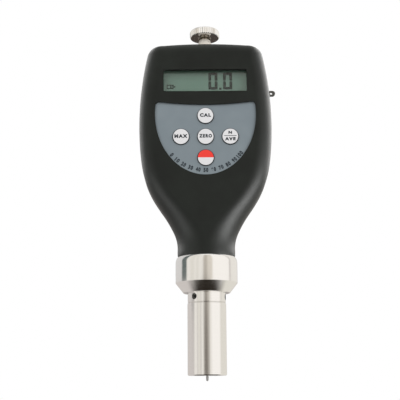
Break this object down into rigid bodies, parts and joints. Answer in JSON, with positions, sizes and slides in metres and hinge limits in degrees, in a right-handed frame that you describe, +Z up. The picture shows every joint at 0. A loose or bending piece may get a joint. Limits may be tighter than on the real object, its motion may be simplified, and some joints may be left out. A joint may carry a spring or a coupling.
{
  "type": "hardness tester",
  "caption": "Hand-held digital hardness tester: waisted two-shell body with display and round keys, steel collar and presser foot with sprung indenter, knurled knob on top.",
  "frame": {"origin": "centre of the presser foot's measuring face", "axes": "+Z up along the tester's axis to the knob, -Y out of the display, +X to the right seen from the display"},
  "size_m": [0.0677, 0.0298, 0.1753],
  "materials": {
    "shell_plastic": "fine satin texture",
    "inner_plastic": "moulded",
    "window": "clear acrylic",
    "display": "grey-green display glass",
    "connector_rubber": "striped silicone",
    "overlay": "printed film",
    "switch_plastic": "moulded",
    "board": "solder mask",
    "chip_plastic": "moulded",
    "screw_steel": "zinc plated",
    "cell_can": "plain sleeve",
    "contact_plate": "nickel plated",
    "turned_steel": "fine turned",
    "inner_steel": "turned",
    "hard_steel": "ground",
    "spring_steel": "drawn wire",
    "bush_brass": "turned",
    "winding": "enamelled copper wire",
    "core_ferrite": "sintered",
    "eye_steel": "dark oxide",
    "key_plastic": "printed cap"
  },
  "bodies": {
    "housing": {"front_shell": "shell_plastic", "rear_shell": "shell_plastic", "window_lens": "window", "lcd_glass": "display", "lcd_frame": "inner_plastic", "lcd_connectors": "connector_rubber", "face_panel": "overlay", "key_switches": "switch_plastic", "main_board": "board", "board_screws": "screw_steel", "chips": "chip_plastic", "case_screws": "screw_steel", "battery_cells": "cell_can", "battery_contacts": "contact_plate", "battery_springs": "contact_plate", "presser_foot": "turned_steel", "lock_ring": "turned_steel", "lock_screws": "screw_steel", "collar": "turned_steel", "barrel": "inner_steel", "lower_bush": "bush_brass", "upper_bush": "bush_brass", "spring_adjuster": "bush_brass", "main_spring": "spring_steel", "coil_former": "inner_plastic", "sensor_coil": "winding", "mount_seat": "turned_steel", "mount_stud": "turned_steel", "stud_nut": "screw_steel", "strap_eye": "eye_steel"},
    "measuring_spindle": {"indenter": "hard_steel", "spindle": "inner_steel", "indenter_screw": "screw_steel", "spring_seat": "bush_brass", "sensor_core": "core_ferrite"},
    "key_cal_body": {"key_cal": "key_plastic"},
    "key_max_body": {"key_max": "key_plastic"},
    "key_zero_body": {"key_zero": "key_plastic"},
    "key_average_body": {"key_average": "key_plastic"},
    "key_power_body": {"key_power": "key_plastic"},
    "bay_cover": {"battery_cover": "shell_plastic"},
    "riser": {"knob_washer": "turned_steel"},
    "knob": {"clamp_knob": "turned_steel"}
  },
  "joints": [
    {"name": "indenter_slide", "type": "slide", "parent": "housing", "child": "measuring_spindle", "axis": [0, 0, 1], "range_m": [0, 0.0025], "stiffness_N_per_m": 3000, "springref_m": -0.00018, "deforming": ["main_spring"]},
    {"name": "key_cal_press", "type": "slide", "parent": "housing", "child": "key_cal_body", "axis": [0, 1, 0], "range_m": [0, 0.0005], "stiffness_N_per_m": 1200, "springref_m": -0.0002},
    {"name": "key_max_press", "type": "slide", "parent": "housing", "child": "key_max_body", "axis": [0, 1, 0], "range_m": [0, 0.0005], "stiffness_N_per_m": 1200, "springref_m": -0.0002},
    {"name": "key_zero_press", "type": "slide", "parent": "housing", "child": "key_zero_body", "axis": [0, 1, 0], "range_m": [0, 0.0005], "stiffness_N_per_m": 1200, "springref_m": -0.0002},
    {"name": "key_average_press", "type": "slide", "parent": "housing", "child": "key_average_body", "axis": [0, 1, 0], "range_m": [0, 0.0005], "stiffness_N_per_m": 1200, "springref_m": -0.0002},
    {"name": "key_power_press", "type": "slide", "parent": "housing", "child": "key_power_body", "axis": [0, 1, 0], "range_m": [0, 0.0005], "stiffness_N_per_m": 1200, "springref_m": -0.0002},
    {"name": "cover_tilt", "type": "hinge", "parent": "housing", "child": "bay_cover", "pos_m": [0, 0.014, 0.1033], "axis": [-1, 0, 0], "range_deg": [0, 45]},
    {"name": "knob_rise", "type": "slide", "parent": "housing", "child": "riser", "axis": [0, 0, 1], "range_m": [0, 0.002]},
    {"name": "knob_turn", "type": "hinge", "parent": "riser", "child": "knob", "pos_m": [0, 0, 0.1688], "axis": [0, 0, 1], "range_deg": [0, 720]}
  ],
  "couplings": [
    {"joint": "knob_rise", "follows": "knob_turn", "m_per_rad": 0.000159}
  ]
}
